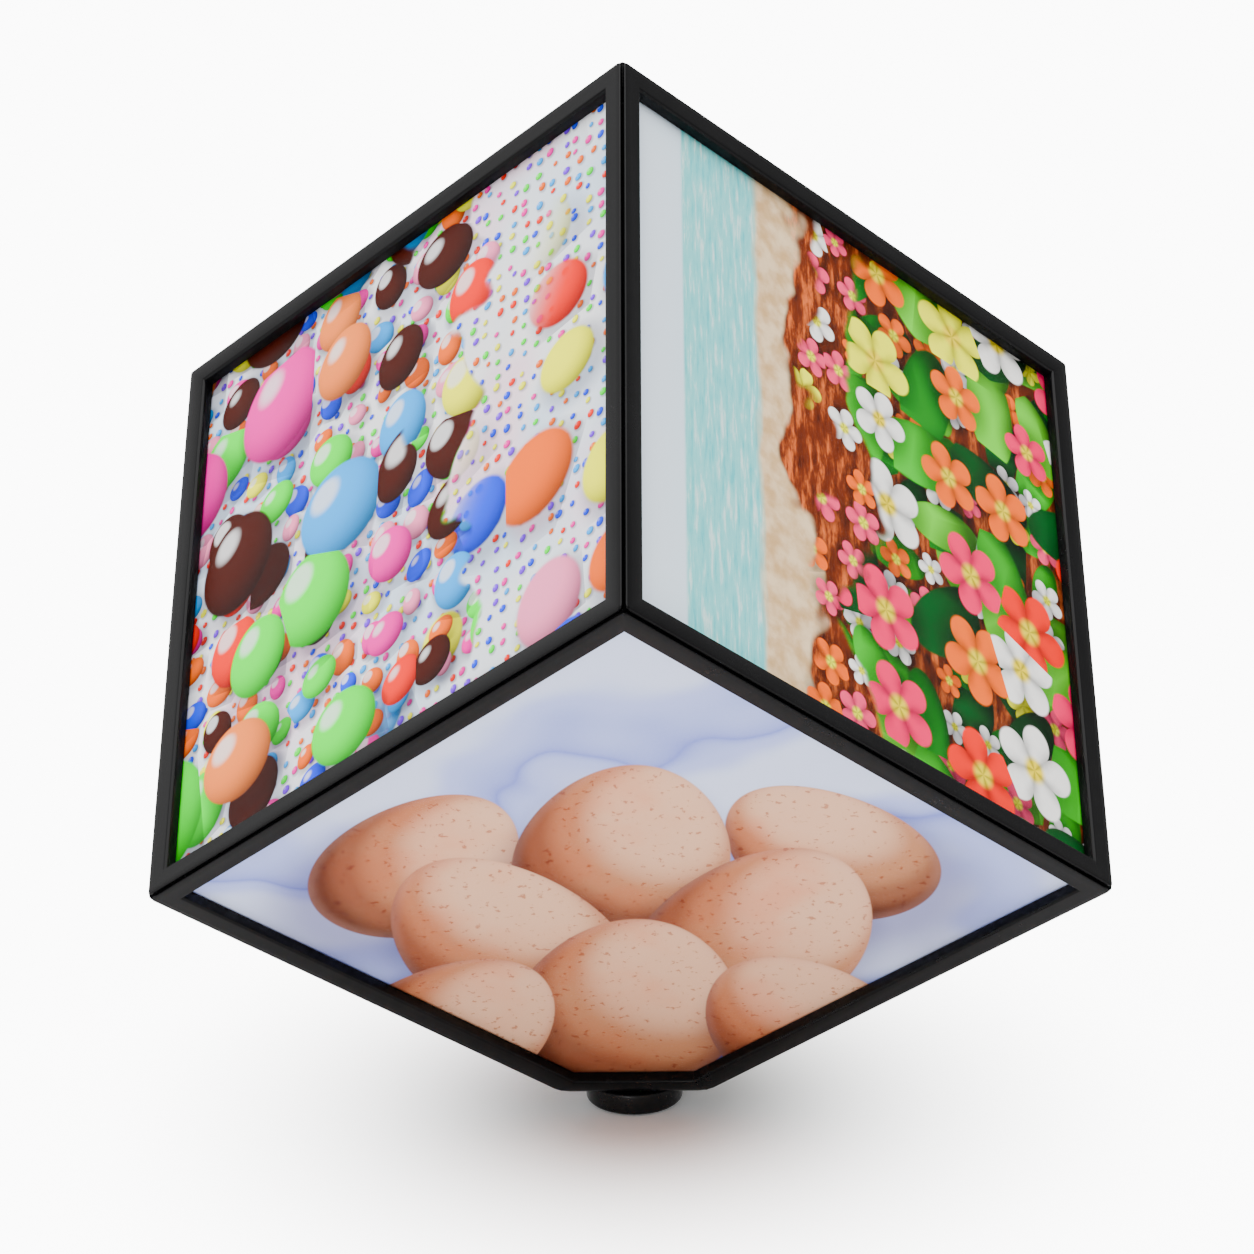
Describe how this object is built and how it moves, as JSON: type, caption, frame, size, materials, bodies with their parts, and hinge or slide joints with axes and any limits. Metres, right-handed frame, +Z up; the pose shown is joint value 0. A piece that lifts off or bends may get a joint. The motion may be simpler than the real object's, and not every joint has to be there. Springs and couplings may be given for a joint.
{
  "type": "rotating photo cube",
  "caption": "Cube of framed prints standing on one corner, turned slowly on a small round foot by a battery gear motor inside.",
  "frame": {"origin": "centre of the foot pad's underside", "axes": "+Z up along the axis that the cube turns about, +Y away from the front, +X to the right"},
  "size_m": [0.1506, 0.1738, 0.1785],
  "materials": {
    "black_plastic": "semi-gloss moulded",
    "clear_sheet": "clear, smooth",
    "print_paper": "satin print",
    "tray_back": "matt moulded",
    "core_plastic": "matt moulded",
    "natural_plastic": "natural acetal",
    "rubber_pad": "matt",
    "steel": "ground",
    "brass": "turned",
    "cell_jacket": "plain printed jacket"
  },
  "bodies": {
    "foot": {"foot": "black_plastic", "foot_pad": "rubber_pad", "thrust_washer": "natural_plastic", "spindle": "steel", "spindle_clip": "steel", "fixed_gear": "natural_plastic"},
    "cube": {"core_upper": "core_plastic", "core_lower": "core_plastic", "hub_bush": "brass", "gearbox_lower_plate": "core_plastic", "gearbox_upper_plate": "core_plastic", "gear_arbor": "steel", "motor_can": "steel", "motor_cap": "natural_plastic", "motor_terminals": "brass", "battery_holder": "core_plastic", "battery_cell": "cell_jacket", "positive_contact": "steel", "negative_contact": "steel", "switch_housing": "steel"},
    "third_gear": {"gear_3": "natural_plastic"},
    "second_gear": {"gear_2": "natural_plastic"},
    "first_gear": {"gear_1": "natural_plastic"},
    "motor_rotor": {"motor_shaft": "steel", "motor_pinion": "brass"},
    "switch_slider": {"switch_slider": "core_plastic"},
    "upper_left_tray": {"upper_left_frame": "black_plastic", "upper_left_cover": "clear_sheet", "upper_left_print": "print_paper", "upper_left_back": "tray_back"},
    "upper_right_tray": {"upper_right_frame": "black_plastic", "upper_right_cover": "clear_sheet", "upper_right_print": "print_paper", "upper_right_back": "tray_back"},
    "upper_back_tray": {"upper_back_frame": "black_plastic", "upper_back_cover": "clear_sheet", "upper_back_print": "print_paper", "upper_back_back": "tray_back"},
    "lower_front_tray": {"lower_front_frame": "black_plastic", "lower_front_cover": "clear_sheet", "lower_front_print": "print_paper", "lower_front_back": "tray_back"},
    "lower_right_tray": {"lower_right_frame": "black_plastic", "lower_right_cover": "clear_sheet", "lower_right_print": "print_paper", "lower_right_back": "tray_back"},
    "lower_left_tray": {"lower_left_frame": "black_plastic", "lower_left_cover": "clear_sheet", "lower_left_print": "print_paper", "lower_left_back": "tray_back"}
  },
  "joints": [
    {"name": "cube_spin", "type": "hinge", "parent": "foot", "child": "cube", "pos_m": [0, 0, 0.0043], "axis": [0, 0, 1], "continuous": true},
    {"name": "third_gear_spin", "type": "hinge", "parent": "cube", "child": "third_gear", "pos_m": [0, 0.015, 0.037], "axis": [0, 0, 1], "continuous": true},
    {"name": "second_gear_spin", "type": "hinge", "parent": "cube", "child": "second_gear", "pos_m": [0, 0, 0.039], "axis": [0, 0, 1], "continuous": true},
    {"name": "first_gear_spin", "type": "hinge", "parent": "cube", "child": "first_gear", "pos_m": [0, 0.015, 0.041], "axis": [0, 0, 1], "continuous": true},
    {"name": "motor_spin", "type": "hinge", "parent": "cube", "child": "motor_rotor", "pos_m": [0, 0, 0.043], "axis": [0, 0, 1], "continuous": true},
    {"name": "switch_slide", "type": "slide", "parent": "cube", "child": "switch_slider", "axis": [-0.5, 0.866, 0], "range_m": [0, 0.002]},
    {"name": "upper_left_lift", "type": "slide", "parent": "cube", "child": "upper_left_tray", "axis": [-0.7071, -0.4082, 0.5774], "range_m": [0, 0.015]},
    {"name": "upper_right_lift", "type": "slide", "parent": "cube", "child": "upper_right_tray", "axis": [0.7071, -0.4082, 0.5774], "range_m": [0, 0.015]},
    {"name": "upper_back_lift", "type": "slide", "parent": "cube", "child": "upper_back_tray", "axis": [0, 0.8165, 0.5773], "range_m": [0, 0.015]},
    {"name": "lower_front_tilt", "type": "hinge", "parent": "cube", "child": "lower_front_tray", "pos_m": [0, -0.0074, 0.0045], "axis": [1, 0, 0], "range_deg": [0, 40]},
    {"name": "lower_right_tilt", "type": "hinge", "parent": "cube", "child": "lower_right_tray", "pos_m": [0.00641, 0.0037, 0.0045], "axis": [-0.5, 0.866, 0], "range_deg": [0, 40]},
    {"name": "lower_left_tilt", "type": "hinge", "parent": "cube", "child": "lower_left_tray", "pos_m": [-0.00641, 0.0037, 0.0045], "axis": [-0.5, -0.866, 0], "range_deg": [0, 40]}
  ],
  "couplings": [
    {"joint": "third_gear_spin", "follows": "cube_spin", "ratio": 4},
    {"joint": "second_gear_spin", "follows": "cube_spin", "ratio": -16},
    {"joint": "first_gear_spin", "follows": "cube_spin", "ratio": 64},
    {"joint": "motor_spin", "follows": "cube_spin", "ratio": -256}
  ]
}
